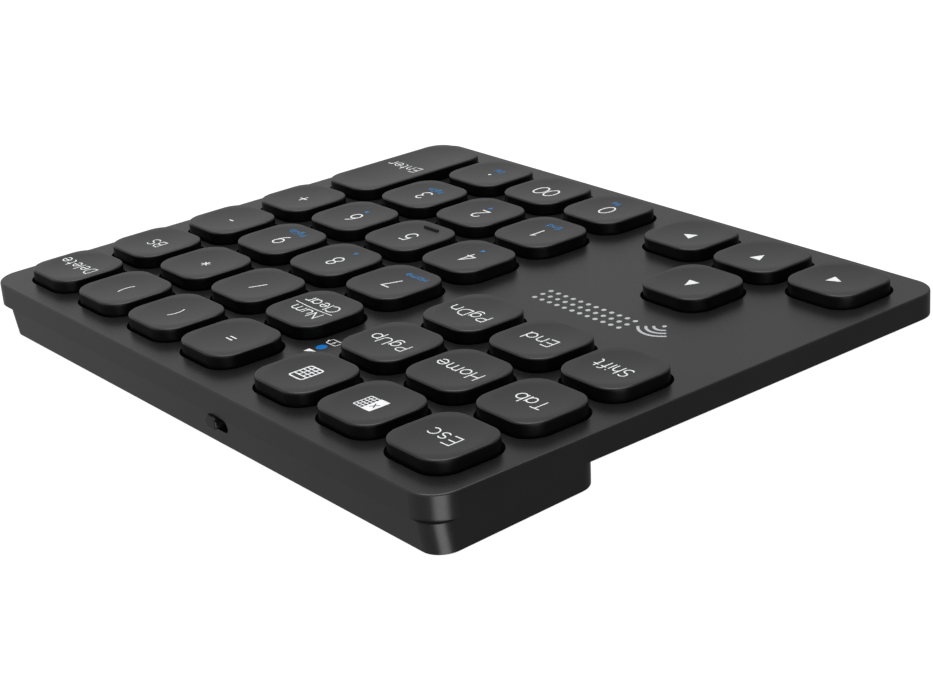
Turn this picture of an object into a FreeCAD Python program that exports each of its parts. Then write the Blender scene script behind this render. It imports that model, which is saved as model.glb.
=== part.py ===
import FreeCAD, Part

import math
import os

from FreeCAD import Vector as V

# Low-profile numeric keypad with 36 scissor keys and a rechargeable cell.
# Modelled in the deck's own frame, in mm, then tilted onto its feet:
#   x to the user's right, y away from the user, z normal to the deck,
#   origin on the deck surface at the centre of the key in column 1, row 1.
# Frame written to the files: +Z up, +X to the user's right, +Y away from the
# user, origin at the bottom centre of the bounding box, on the table plane.

# ---- key layout ----
PITCH_X, PITCH_Y = 19.0, 18.14
COLUMN_GAP = 5.05       # extra gap between columns 3 and 4


def column_x(column):
    return PITCH_X * (column - 1) + (COLUMN_GAP if column > 3 else 0.0)


def row_y(row):
    return -PITCH_Y * (row - 1)


# Seven columns, from the rear row to the front; a dot is a place with no key.
KEY_ROWS = [
    "esc        app_a      app_b       equals    paren_open paren_close delete",
    "tab        home       page_up     num_clear divide     multiply    backspace",
    "shift      end        page_down   7         8          9           minus",
    ".          .          .           4         5          6           plus",
    ".          arrow_up   .           1         2          3           .",
    "arrow_left arrow_down arrow_right 0         00         decimal     .",
]
ENTER_X, ENTER_Y = column_x(7), row_y(5.5)
# name, x, y, extra length along y
KEYS = [("key_" + label, column_x(column), row_y(row), 0.0)
        for row, labels in enumerate(KEY_ROWS, 1)
        for column, label in enumerate(labels.split(), 1) if label != "."]
KEYS.append(("key_enter", ENTER_X, ENTER_Y, PITCH_Y))
KEY_CENTRES = [(x, y) for name, x, y, extra in KEYS]

# ---- case ----
TILT_DEG = 2.0          # rake of the deck on its feet
TILT = math.radians(TILT_DEG)
LEFT_X, RIGHT_X = -13.01, 132.56
FRONT_Y, REAR_Y = -103.95, 12.93
DECK_R = 5.56           # plan corner radius of the slab
SLAB_H = 4.62           # slab thickness
DECK_T = 1.2            # deck panel thickness
RIM_T = 1.6             # side wall of the top case
DECK_FILLET = 0.35
HOLE_X, HOLE_Y, HOLE_R = 16.88, 16.25, 4.87   # deck aperture around a key

BASE_TOP = -3.15        # upper face of the base panel
BASE_INSET = RIM_T + 0.15
BLOCK_H = 10.18         # deck surface to the block's underside at the rear
BLOCK_RIGHT_X = RIGHT_X - 4.74
BLOCK_FRONT_Y = REAR_Y - 33.92
FRONT_LEAN, REAR_LEAN = 0.28, 0.80            # how far these walls come in by BLOCK_H
BLOCK_R = 4.0
BLOCK_WALL = 2.0
BLOCK_BLANK_Z = -16.0   # lower end of the block before its underside is cut
STEP_Z = -6.2           # height where the block's hollow changes to its upper outline
RING_Z = -6.0           # lower end of the ring that joins block and base panel
FLOOR_T = 1.3

PLATE_Z0, PLATE_Z1 = -3.10, -2.80             # steel support plate
SHEET_INSET, SHEET_R = RIM_T + 0.3, 3.4       # outline of plate and membrane
MEMBRANE_T = 0.10       # thickness of each membrane sheet
MEMBRANE_TOP = PLATE_Z1 + 3 * MEMBRANE_T

# ---- fasteners and feet ----
BOSS_R, PILOT_R = 1.6, 0.82
SCREW_R, SCREW_L, HEAD_R, HEAD_H = 0.80, 2.4, 1.5, 0.6
SCREW_PLAY = 0.15
SLAB_SEAT, BLOCK_SEAT = -3.90, -7.80          # height of each screw head's seat
GAP_X = (column_x(3) + column_x(4)) / 2
SLAB_BOSSES = [(column_x(1.5), row_y(2.5)), (column_x(6.5), row_y(2.5)),
               (GAP_X, row_y(3.5)), (column_x(6.5), row_y(4.5)),
               (GAP_X, row_y(5.5)), (column_x(1), row_y(4.6))]
BLOCK_BOSSES = [(-8.6, row_y(1.5)), (column_x(6.5), row_y(1.5))]
BOARD_SCREWS = [(42.0, -11.0), (118.0, -10.0), (84.0, 6.5)]

FOOT_X, FOOT_Y, FOOT_R = 14.0, 5.0, 2.49
FOOT_PLAY = 0.05        # gap around a foot in its pocket
FOOT_POCKET = 0.5       # pocket depth
FOOT_H = 0.5            # rear feet stand proud of the block by this much
FRONT_FEET = [(4.0, -97.5), (115.5, -97.5)]
REAR_FEET = [(4.0, 6.4), (111.0, 6.4)]

# ---- electronics ----
BOARD_PLAN = (38.0, 124.0, -14.0, 10.2)       # x0, x1, y0, y1
BOARD_Z0, BOARD_Z1 = -6.6, -5.8
CELL_X0, CELL_X1, CELL_Z0 = -6.0, 36.0, -6.7
SWITCH_X, SWITCH_Z = 47.95, -5.93             # centre of the power switch opening
SWITCH_L, SWITCH_H = 6.2, 2.75
KNOB_L, KNOB_H, KNOB_OUT, KNOB_TRAVEL = 3.6, 2.4, 0.7, 2.5
PORT_Y, PORT_Z, PORT_W, PORT_H = 4.0, -6.6, 7.5, 2.6     # charge port shell
LED_X, LED_Y, PIPE_R = 50.45, -11.45, 1.05
TAIL_X, TAIL_Y = 70.0, -11.0                  # centre of the membrane tail


# ---- shape helpers ----
def rounded_wire(cx, cy, width, depth, radius, z):
    a, b, r = width / 2, depth / 2, radius
    k = r * math.sqrt(0.5)

    def at(x, y):
        return V(cx + x, cy + y, z)

    def arc(start, middle, end):
        return Part.Arc(at(*start), at(*middle), at(*end)).toShape()

    return Part.Wire([
        Part.makeLine(at(-a + r, -b), at(a - r, -b)),
        arc((a - r, -b), (a - r + k, -b + r - k), (a, -b + r)),
        Part.makeLine(at(a, -b + r), at(a, b - r)),
        arc((a, b - r), (a - r + k, b - r + k), (a - r, b)),
        Part.makeLine(at(a - r, b), at(-a + r, b)),
        arc((-a + r, b), (-a + r - k, b - r + k), (-a, b - r)),
        Part.makeLine(at(-a, b - r), at(-a, -b + r)),
        arc((-a, -b + r), (-a + r - k, -b + r - k), (-a + r, -b)),
    ])


def rounded_prism(cx, cy, width, depth, radius, z0, z1):
    return Part.Face(rounded_wire(cx, cy, width, depth, radius, z0)).extrude(V(0, 0, z1 - z0))


def rounded_span(x0, x1, y0, y1, radius, z0, z1):
    return rounded_prism((x0 + x1) / 2, (y0 + y1) / 2, x1 - x0, y1 - y0, radius, z0, z1)


def slab_span(inset, radius, z0, z1):
    """The slab's outline brought in by inset on every side."""
    return rounded_span(LEFT_X + inset, RIGHT_X - inset, FRONT_Y + inset, REAR_Y - inset,
                        radius, z0, z1)


def box(x0, x1, y0, y1, z0, z1):
    return Part.makeBox(x1 - x0, y1 - y0, z1 - z0, V(x0, y0, z0))


def centred_box(x, y, half_x, half_y, z0, z1):
    return box(x - half_x, x + half_x, y - half_y, y + half_y, z0, z1)


def post(x, y, radius, z0, z1):
    return Part.makeCylinder(radius, z1 - z0, V(x, y, z0))


def bar_y(x, y0, z, radius, length):
    return Part.makeCylinder(radius, length, V(x, y0, z), V(0, 1, 0))


def bar_x(x0, y, z, radius, length):
    return Part.makeCylinder(radius, length, V(x0, y, z), V(1, 0, 0))


def obround(cx, cz, length, height, y0, y1):
    """Obround lying along x, extruded along y."""
    radius = height / 2
    half = length / 2 - radius
    shape = box(cx - half, cx + half, y0, y1, cz - radius, cz + radius)
    for x in (-half, half):
        shape = shape.fuse(bar_y(cx + x, y0, cz, radius, y1 - y0))
    return shape.removeSplitter()


def below(y, z):
    """Everything under a plane parallel to the table through (y, z)."""
    space = Part.makeBox(600, 600, 60, V(-250, -300, -60))
    space.rotate(V(0, 0, 0), V(1, 0, 0), -TILT_DEG)
    space.translate(V(0, y, z))
    return space


def facing_right(shape, x):
    """Turn local z to +x and local x to +y, and set the shape at the charge port."""
    shape.rotate(V(0, 0, 0), V(1, 0, 0), 90)
    shape.rotate(V(0, 0, 0), V(0, 0, 1), 90)
    shape.translate(V(x, PORT_Y, PORT_Z))
    return shape


def placed(shape, x, y, z):
    copy = shape.copy()
    copy.translate(V(x, y, z))
    return copy


def edges_at(shape, axis, value):
    """Edges whose vertices all lie at value on the axis "X", "Y" or "Z"."""
    return [e for e in shape.Edges
            if all(abs(getattr(v, axis) - value) < 1e-6 for v in e.Vertexes)]


def group(shapes):
    return Part.makeCompound(shapes)


def merged(shape):
    result = shape.removeSplitter()
    return result.Solids[0] if len(result.Solids) == 1 else result


# ---- keycaps ----
CAP_X, CAP_Y, CAP_R = 15.96, 15.16, 4.54      # key top
CAP_H = 2.45            # key top above the deck
FLARE = 0.03            # how far the skirt spreads on each side
SKIRT_Z = -0.30         # lower edge of the skirt at rest
CAP_WALL, CAP_ROOF = 0.90, 1.0
CAP_FILLET = 0.35
ROOF_Z = CAP_H - CAP_ROOF                     # underside of the key top
DISH_DEPTH, DISH_HALF = 0.22, 6.6             # finger dish and its half chord
DISH_R = (DISH_HALF ** 2 + DISH_DEPTH ** 2) / (2 * DISH_DEPTH)
SADDLE_X, SADDLE_Y = 5.15, 9.0                # wire saddles from the key's centre


def cap_loft(cx, cy, extra, inset, z0, z1):
    w = 2 * inset
    return Part.makeLoft([
        rounded_wire(cx, cy, CAP_X + 2 * FLARE - w, CAP_Y + 2 * FLARE + extra - w,
                     CAP_R + FLARE - inset, z0),
        rounded_wire(cx, cy, CAP_X - w, CAP_Y + extra - w, CAP_R - inset, z1)], True, True)


def finger_dish(cx, cy, extra):
    zc = CAP_H - DISH_DEPTH + DISH_R
    if extra:
        dish = bar_y(cx, cy - extra / 2, zc, DISH_R, extra)
        for side in (-1, 1):
            dish = dish.fuse(Part.makeSphere(DISH_R, V(cx, cy + side * extra / 2, zc)))
    else:
        dish = Part.makeSphere(DISH_R, V(cx, cy, zc))
    return dish.common(centred_box(cx, cy, 7.2, extra / 2 + 7.0, 0, CAP_H + 0.2))


def keycap(cx, cy, extra):
    outer = cap_loft(cx, cy, extra, 0.0, SKIRT_Z, CAP_H)
    outer = outer.makeFillet(CAP_FILLET, edges_at(outer, "Z", CAP_H))
    cap = outer.cut(cap_loft(cx, cy, extra, CAP_WALL, SKIRT_Z - 0.01, ROOF_Z))
    cap = cap.cut(finger_dish(cx, cy, extra))
    # clips that hold the scissor frames' upper bars
    clips = [centred_box(cx + x, cy + y, 0.8, 0.3, ROOF_Z - 0.95, ROOF_Z + 0.1)
             for x in (-2.6, 2.6) for y in (-5.35, 5.35)]
    if extra:
        # saddles that carry the long bar of the stabiliser wire
        x0 = cx + SADDLE_X
        for y in (cy - SADDLE_Y, cy + SADDLE_Y):
            clips.append(box(x0, x0 + 0.35, y - 0.8, y + 0.8, -0.25, ROOF_Z + 0.1))
            clips.append(box(x0, x0 + 1.35, y - 0.8, y + 0.8, -0.25, 0.05))
    return merged(cap.multiFuse(clips))


def add_locating_bar(cap):
    """Raised bar near the front edge of the 5 key."""
    return merged(cap.fuse(rounded_prism(column_x(5) - 0.45, row_y(4) - 5.1, 4.6, 0.70, 0.34,
                                         CAP_H - 0.50, CAP_H + 0.25)))


# ---- top case: deck panel, rim and screw bosses ----
BLOCK_BOSS_Z = -6.9     # lower end of the bosses over the block


def top_case():
    slab = slab_span(0, DECK_R, -SLAB_H, 0)
    slab = slab.makeFillet(DECK_FILLET, edges_at(slab, "Z", 0))
    case = slab.cut(slab_span(RIM_T, DECK_R - RIM_T, -SLAB_H - 1, -DECK_T))
    case = case.multiFuse(
        [post(x, y, BOSS_R, z, -DECK_T + 0.1)
         for bosses, z in ((SLAB_BOSSES, PLATE_Z0), (BLOCK_BOSSES, BLOCK_BOSS_Z))
         for x, y in bosses])
    cuts = [rounded_prism(x, y, HOLE_X, HOLE_Y + extra, HOLE_R, -DECK_T - 0.3, 0.5)
            for name, x, y, extra in KEYS]
    cuts += [post(x, y, PILOT_R, -8, pilot_top)
             for bosses, pilot_top in ((SLAB_BOSSES, -1.4), (BLOCK_BOSSES, -5.2))
             for x, y in bosses]
    cuts.append(post(LED_X, LED_Y, PIPE_R + 0.05, -3, 1))
    return merged(case.cut(group(cuts)))


# ---- feet ----
def underside_z(y):
    """Height of the block's underside at y."""
    return -BLOCK_H + (REAR_Y - y) * math.tan(TILT)


def foot_prism(x, y, play, z0, z1):
    return rounded_prism(x, y, FOOT_X + 2 * play, FOOT_Y + 2 * play, FOOT_R + play, z0, z1)


def feet(places, pocket_top):
    """Feet filling their pockets and cut flat at the table."""
    table = below(REAR_Y, -BLOCK_H - FOOT_H / math.cos(TILT))
    return group([foot_prism(x, y, 0, -16, pocket_top(y)).cut(table) for x, y in places])


def front_pocket_top(y):
    return -SLAB_H + FOOT_POCKET


def rear_pocket_top(y):
    return underside_z(y) + FOOT_POCKET


# ---- bottom case: base panel, rear block, feet pockets, standoffs ----
STANDOFF_R, BOARD_PILOT_R = 1.5, 0.72
SUPPORT_Z0 = -12.0      # standoffs and ribs start below the floor's upper face
CELL_RIBS_Y = (-11.0, 4.0)


def block_body(z_top):
    """The rear block, its front and rear walls coming in towards the bottom."""
    def ends(z):
        k = (-SLAB_H - z) / (BLOCK_H - SLAB_H)
        return BLOCK_FRONT_Y + FRONT_LEAN * k, REAR_Y - REAR_LEAN * k

    top_front, top_rear = ends(z_top)
    low_front, low_rear = ends(BLOCK_BLANK_Z)
    outline = [(top_front, z_top), (top_rear, z_top), (low_rear, BLOCK_BLANK_Z),
               (low_front, BLOCK_BLANK_Z), (top_front, z_top)]
    face = Part.Face(Part.makePolygon([V(LEFT_X, y, z) for y, z in outline]))
    body = face.extrude(V(BLOCK_RIGHT_X - LEFT_X, 0, 0))
    return body.makeFillet(BLOCK_R, [e for e in body.Edges
                                     if abs(e.Vertexes[0].Z - e.Vertexes[1].Z) > 5])


def block_ring():
    """Upper part of the block that reaches inside the top case's rim."""
    ring = rounded_span(LEFT_X + BASE_INSET, BLOCK_RIGHT_X - 0.3, BLOCK_FRONT_Y + 0.3,
                        REAR_Y - BASE_INSET, BLOCK_R - BASE_INSET, RING_Z, BASE_TOP)
    return ring.common(slab_span(BASE_INSET, DECK_R - BASE_INSET, -7, 0))


def block_hollow():
    well = rounded_span(LEFT_X + BLOCK_WALL, BLOCK_RIGHT_X - BLOCK_WALL,
                        BLOCK_FRONT_Y + BLOCK_WALL, REAR_Y - BLOCK_WALL,
                        3.0, BLOCK_BLANK_Z, BASE_TOP + 1)
    inset = BASE_INSET + 0.6
    neck = rounded_span(LEFT_X + inset, BLOCK_RIGHT_X - BLOCK_WALL,
                        BLOCK_FRONT_Y + BLOCK_WALL, REAR_Y - inset,
                        BLOCK_R - inset, STEP_Z, BASE_TOP + 1)
    return well.cut(box(-50, 200, -200, 50, STEP_Z, 5)).fuse(neck)


def bottom_case():
    panel = slab_span(BASE_INSET, DECK_R - BASE_INSET, -SLAB_H, BASE_TOP)
    floor = block_body(RING_Z).common(below(REAR_Y, -BLOCK_H + FLOOR_T / math.cos(TILT)))
    case = panel.fuse(block_body(-SLAB_H)).fuse(block_ring()).cut(block_hollow()).fuse(floor)
    supports = [post(x, y, STANDOFF_R, SUPPORT_Z0, BOARD_Z0) for x, y in BOARD_SCREWS]
    supports += [box(CELL_X0 + 4, CELL_X1 - 4, y - 0.5, y + 0.5, SUPPORT_Z0, CELL_Z0)
                 for y in CELL_RIBS_Y]
    case = case.multiFuse(supports)

    cuts = [below(REAR_Y, -BLOCK_H)]
    for bosses, seat, z0 in ((SLAB_BOSSES, SLAB_SEAT, -6), (BLOCK_BOSSES, BLOCK_SEAT, -12)):
        for x, y in bosses:
            cuts.append(post(x, y, SCREW_R + SCREW_PLAY, z0, 0))
            cuts.append(post(x, y, HEAD_R + SCREW_PLAY, z0, seat))
    cuts += [post(x, y, BOARD_PILOT_R, -7.9, 0) for x, y in BOARD_SCREWS]
    cuts += [foot_prism(x, y, FOOT_PLAY, -6, front_pocket_top(y)) for x, y in FRONT_FEET]
    cuts += [foot_prism(x, y, FOOT_PLAY, -14, rear_pocket_top(y)) for x, y in REAR_FEET]
    cuts.append(obround(SWITCH_X, SWITCH_Z, SWITCH_L, SWITCH_H, 10.0, 14.0))
    cuts.append(facing_right(
        rounded_prism(0, 0, PORT_W + 0.5, PORT_H + 0.5, 0.8, 0, 12), 120.5))
    return merged(case.cut(group(cuts)))


# ---- stabiliser wire of the two-row key ----
WIRE_R, WIRE_ARM, WIRE_RISE = 0.35, 5.8, 2.6
WIRE_HALF = 12.0        # half length of the long bar
WIRE_END = 1.3          # length of each pivot end
PIVOT_X, PIVOT_Z = ENTER_X + 0.9, -2.0
LUGS_Y = [ENTER_Y + side * (WIRE_HALF + 0.9) for side in (-1, 1)]


def stabiliser_wire():
    bar_at_x = PIVOT_X + WIRE_ARM * math.cos(math.asin(WIRE_RISE / WIRE_ARM))
    bar_at_z = PIVOT_Z + WIRE_RISE
    front, rear = ENTER_Y - WIRE_HALF, ENTER_Y + WIRE_HALF
    path = [V(PIVOT_X, front - WIRE_END, PIVOT_Z), V(PIVOT_X, front, PIVOT_Z),
            V(bar_at_x, front, bar_at_z), V(bar_at_x, rear, bar_at_z),
            V(PIVOT_X, rear, PIVOT_Z), V(PIVOT_X, rear + WIRE_END, PIVOT_Z)]
    wire = None
    for p, q in zip(path, path[1:]):
        run = Part.makeCylinder(WIRE_R, (q - p).Length, p, q - p)
        wire = run if wire is None else wire.fuse(run)
    for p in path[1:-1]:
        wire = wire.fuse(Part.makeSphere(WIRE_R, p))
    return merged(wire)


# ---- support plate with frame hooks and wire lugs, membrane sheets ----
HOOK_Y, HOOK_TOP = 5.15, -1.35                # hook wall from the key's centre


def hooks(cx, cy):
    """Two hooks for the scissor frames' lower bars, lips towards the key's centre."""
    pieces = []
    for side in (-1, 1):
        pieces.append(centred_box(cx, cy + side * HOOK_Y, 0.8, 0.15, PLATE_Z0 + 0.1, HOOK_TOP))
        pieces.append(centred_box(cx, cy + side * 4.85, 0.8, 0.45, HOOK_TOP - 0.3, HOOK_TOP))
    return pieces


def wire_lug(y):
    lug = centred_box(PIVOT_X, y, 0.9, 0.25, PLATE_Z0 + 0.1, -1.25)
    return lug.cut(bar_y(PIVOT_X, y - 1, PIVOT_Z, WIRE_R + 0.07, 2))


def boss_and_led_holes():
    holes = [post(x, y, BOSS_R + 0.3, -4, 0) for x, y in SLAB_BOSSES + BLOCK_BOSSES]
    return holes + [post(LED_X, LED_Y, PIPE_R + 0.3, -4, 0)]


def support_plate():
    plate = slab_span(SHEET_INSET, SHEET_R, PLATE_Z0, PLATE_Z1)
    raised = [piece for x, y in KEY_CENTRES for piece in hooks(x, y)]
    plate = plate.multiFuse(raised + [wire_lug(y) for y in LUGS_Y])
    tail_slot = centred_box(TAIL_X, TAIL_Y, 6.5, 0.4, -4, 0)
    return merged(plate.cut(group(boss_and_led_holes() + [tail_slot])))


def membrane_sheet(level):
    """Pierced sheet; level 0 lies on the plate."""
    z0 = PLATE_Z1 + level * MEMBRANE_T
    holes = boss_and_led_holes()
    holes += [centred_box(x, y + side * HOOK_Y, 1.0, 0.35, -4, 0)
              for x, y in KEY_CENTRES for side in (-1, 1)]
    holes += [centred_box(PIVOT_X, y, 1.1, 0.45, -4, 0) for y in LUGS_Y]
    return slab_span(SHEET_INSET, SHEET_R, z0, z0 + MEMBRANE_T).cut(group(holes))


def bottom_sheet():
    tail = centred_box(TAIL_X, TAIL_Y, 6.0, 0.05, -4.5, PLATE_Z1 + MEMBRANE_T)
    return merged(membrane_sheet(0).fuse(tail))


def spacer_sheet():
    contact_holes = group([post(x, y, 2.2, -4, 0) for x, y in KEY_CENTRES])
    return merged(membrane_sheet(1).cut(contact_holes))


# ---- rubber domes and scissor frames, one of each per key ----
FRAME_LEAN = 16.5       # degrees
FRAME_Z = -0.70         # height of the scissor pivot
FRAME_HALF_Y, FRAME_BAR, FRAME_T = 4.85, 0.8, 0.6


def dome(cx, cy):
    z0, z1 = MEMBRANE_TOP, ROOF_Z - 0.05
    # radius, z
    profile = [(0.0, z1), (0.0, z1 - 1.0), (1.3, z1 - 1.0), (2.4, z0), (3.3, z0),
               (3.3, z0 + 0.25), (2.85, z0 + 0.25), (1.75, z1 - 0.6), (1.75, z1), (0.0, z1)]
    face = Part.Face(Part.makePolygon([V(radius, 0, z) for radius, z in profile]))
    shape = face.revolve(V(0, 0, 0), V(0, 0, 1), 360)
    shape.translate(V(cx, cy, 0))
    return shape


def frame_ring(half_x, lean):
    """Rectangular link leaning about x."""
    inner_x, inner_y = half_x - FRAME_BAR, FRAME_HALF_Y - FRAME_BAR
    ring = rounded_prism(0, 0, 2 * half_x, 2 * FRAME_HALF_Y, 0.6, -FRAME_T / 2, FRAME_T / 2)
    ring = ring.cut(rounded_prism(0, 0, 2 * inner_x, 2 * inner_y, 0.4, -FRAME_T, FRAME_T))
    ring.rotate(V(0, 0, 0), V(1, 0, 0), lean)
    return ring


def pivot_pair(inner_x, radius, length):
    return [bar_x(x, 0, 0, radius, length) for x in (-inner_x - length, inner_x)]


def outer_frame():
    return merged(frame_ring(5.6, FRAME_LEAN).cut(group(pivot_pair(4.7, 0.19, 1.6))))


def inner_frame():
    return merged(frame_ring(4.6, -FRAME_LEAN).multiFuse(pivot_pair(4.3, 0.16, 1.1)))


def frame_per_key(frame):
    return group([placed(frame, x, y, FRAME_Z) for x, y in KEY_CENTRES])


# ---- electronics ----
def controller_board():
    boss_x, boss_y = BLOCK_BOSSES[1]
    cuts = [box(120.6, 126, PORT_Y - 4.0, PORT_Y + 4.0, -8, 0),
            box(SWITCH_X - 4.7, SWITCH_X + 4.7, 7.7, 12, -8, 0),
            post(boss_x, boss_y, BOSS_R + 0.3, -8, 0)]
    cuts += [post(x, y, 0.9, -8, 0) for x, y in BOARD_SCREWS]
    return merged(box(*BOARD_PLAN, BOARD_Z0, BOARD_Z1).cut(group(cuts)))


def tail_connector():
    body = centred_box(TAIL_X, TAIL_Y, 8.0, 1.6, BOARD_Z1, BOARD_Z1 + 1.8)
    return merged(body.cut(centred_box(TAIL_X, TAIL_Y, 6.4, 0.3, BOARD_Z1 + 1.0, 0)))


def battery_lead():
    lead = box(40.2, 44.2, 0.0, 5.0, BOARD_Z1, BOARD_Z1 + 1.9)
    for y in (1.6, 3.4):
        lead = lead.fuse(bar_x(CELL_X1 + 0.1, y, -4.9, 0.5, 4.2))
    return merged(lead)


def charge_port():
    shell = rounded_prism(0, 0, PORT_W, PORT_H, 0.7, 0, 5.9).cut(
        rounded_prism(0, 0, PORT_W - 0.6, PORT_H - 0.6, 0.4, 0.5, 7))
    tongue = centred_box(0, 0, 2.0, 0.35, 0.2, 4.9)
    return merged(facing_right(shell.fuse(tongue), 121.5))


def switch_body():
    body = box(SWITCH_X - 4.5, SWITCH_X + 4.5, 7.9, 10.45, SWITCH_Z - 1.4, SWITCH_Z + 1.4)
    return merged(body.cut(
        box(SWITCH_X - 3.6, SWITCH_X + 3.6, 8.9, 11, SWITCH_Z - 0.9, SWITCH_Z + 0.9)))


def switch_knob():
    """Knob at the right-hand end of its travel, with a stem into the body."""
    x = SWITCH_X + KNOB_TRAVEL / 2
    end_y = REAR_Y + KNOB_OUT
    knob = obround(x, SWITCH_Z, KNOB_L, KNOB_H, 11.3, end_y)
    knob = knob.makeFillet(0.3, edges_at(knob, "Y", end_y))
    return merged(knob.fuse(
        box(x - 1.2, x + 1.2, 9.05, 11.5, SWITCH_Z - 0.75, SWITCH_Z + 0.75)))


def light_pipe():
    stem = post(LED_X, LED_Y, PIPE_R, -5.05, -0.04)
    return merged(stem.fuse(post(LED_X, LED_Y, 1.6, -1.9, -DECK_T - 0.05)))


# ---- screws ----
def screw(x, y, seat, radius, length, head_r, head_h, up=True):
    """Cross-recess pan screw; the shank points up when up is true."""
    shape = post(0, 0, radius, -0.01, length).fuse(post(0, 0, head_r, -head_h, 0))
    arm, half_slot = head_r * 0.6, 0.14
    shape = shape.cut(group([
        centred_box(0, 0, half_x, half_y, -head_h - 1, -head_h * 0.45)
        for half_x, half_y in ((arm, half_slot), (half_slot, arm))]))
    if not up:
        shape.rotate(V(0, 0, 0), V(1, 0, 0), 180)
    shape.translate(V(x, y, seat))
    return merged(shape)


def case_screws():
    return group([screw(x, y, seat, SCREW_R, SCREW_L, HEAD_R, HEAD_H)
                  for bosses, seat in ((SLAB_BOSSES, SLAB_SEAT), (BLOCK_BOSSES, BLOCK_SEAT))
                  for x, y in bosses])


def board_screws():
    return group([screw(x, y, BOARD_Z1, radius=0.70, length=2.0, head_r=1.25, head_h=0.5,
                        up=False) for x, y in BOARD_SCREWS])


# ---- all pieces, by file name ----
parts = {name: keycap(x, y, extra) for name, x, y, extra in KEYS}
parts["key_5"] = add_locating_bar(parts["key_5"])
parts.update({
    "top_case": top_case(),
    "bottom_case": bottom_case(),
    "support_plate": support_plate(),
    "membrane_bottom_sheet": bottom_sheet(),
    "membrane_spacer_sheet": spacer_sheet(),
    "membrane_top_sheet": merged(membrane_sheet(2)),
    "rubber_domes": group([dome(x, y) for x, y in KEY_CENTRES]),
    "scissor_outer_frames": frame_per_key(outer_frame()),
    "scissor_inner_frames": frame_per_key(inner_frame()),
    "enter_stabiliser_wire": stabiliser_wire(),
    "controller_board": controller_board(),
    "controller_chip": rounded_prism(86.0, -2.5, 7.0, 7.0, 0.3, BOARD_Z1, BOARD_Z1 + 0.9),
    "membrane_tail_connector": tail_connector(),
    "battery_cell": rounded_span(CELL_X0, CELL_X1, -16.0, 9.5, 1.2, CELL_Z0, -3.5),
    "battery_lead": battery_lead(),
    "charge_port": charge_port(),
    "power_switch_body": switch_body(),
    "power_switch_knob": switch_knob(),
    "status_led": centred_box(LED_X, LED_Y, 0.8, 0.4, BOARD_Z1, BOARD_Z1 + 0.6),
    "led_light_pipe": light_pipe(),
    "case_screws": case_screws(),
    "board_screws": board_screws(),
    "front_feet": feet(FRONT_FEET, front_pocket_top),
    "rear_feet": feet(REAR_FEET, rear_pocket_top),
})

# ---- tilt onto the feet and move the origin to the bottom centre ----
bounds = []
for shape in parts.values():
    shape.rotate(V(0, 0, 0), V(1, 0, 0), TILT_DEG)
    bounds.append(shape.optimalBoundingBox(False, False))
shift = V(-(LEFT_X + RIGHT_X) / 2,
          -(min(b.YMin for b in bounds) + max(b.YMax for b in bounds)) / 2,
          -min(b.ZMin for b in bounds))

os.makedirs("parts", exist_ok=True)
for name, shape in parts.items():
    shape.translate(shift)
    shape.exportStep(os.path.join("parts", name + ".step"))
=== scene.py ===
"""A slim black numeric keypad: 36 scissor keys on a deck tilted 2 degrees.

The supplied case parts get materials. Keycaps, legends, key mechanisms and deck print are
modelled here in the deck frame, in mm: x to the user's right, y away from the user, z off
the deck, origin on the deck under the centre of the key in column 1, row 1.
"""
import math

import bpy
import numpy as np
from mathutils import Matrix, Vector


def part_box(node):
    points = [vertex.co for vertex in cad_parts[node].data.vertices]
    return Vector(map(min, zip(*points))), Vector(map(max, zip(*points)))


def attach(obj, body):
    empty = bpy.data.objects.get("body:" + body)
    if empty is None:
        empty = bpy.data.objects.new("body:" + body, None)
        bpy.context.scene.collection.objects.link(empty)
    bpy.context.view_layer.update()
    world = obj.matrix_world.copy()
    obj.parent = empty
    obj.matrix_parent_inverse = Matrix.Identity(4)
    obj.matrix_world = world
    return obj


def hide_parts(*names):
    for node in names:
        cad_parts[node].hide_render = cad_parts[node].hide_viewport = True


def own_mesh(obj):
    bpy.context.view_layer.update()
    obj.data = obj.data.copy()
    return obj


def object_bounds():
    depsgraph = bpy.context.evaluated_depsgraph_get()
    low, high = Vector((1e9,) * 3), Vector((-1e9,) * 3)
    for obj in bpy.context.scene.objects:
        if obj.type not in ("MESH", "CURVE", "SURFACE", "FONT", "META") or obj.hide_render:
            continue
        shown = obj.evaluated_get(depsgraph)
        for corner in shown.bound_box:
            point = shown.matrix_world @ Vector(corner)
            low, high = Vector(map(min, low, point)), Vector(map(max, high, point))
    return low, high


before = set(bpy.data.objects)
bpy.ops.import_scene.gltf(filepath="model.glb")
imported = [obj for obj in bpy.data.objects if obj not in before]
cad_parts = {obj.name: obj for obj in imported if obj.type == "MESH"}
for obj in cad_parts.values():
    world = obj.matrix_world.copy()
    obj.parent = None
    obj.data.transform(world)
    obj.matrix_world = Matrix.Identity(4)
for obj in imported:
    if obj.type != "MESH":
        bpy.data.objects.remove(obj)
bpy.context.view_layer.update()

# ------------------------------------------------------------------ dimensions, deck mm
TILT = math.radians(2.0)
DECK_TO_ROW = np.array([[1, 0, 0],
                        [0, math.cos(TILT), -math.sin(TILT)],
                        [0, math.sin(TILT), math.cos(TILT)]])
ESC_LOW, ESC_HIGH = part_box("key_esc")
ORIGIN = np.array([(ESC_LOW.x + ESC_HIGH.x) * 500.0, 45.00722, 10.22255])  # row frame, mm

PITCH_X, PITCH_Y = 19.0, 18.14
COLUMN_GAP = 5.05                             # extra space between columns 3 and 4

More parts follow.
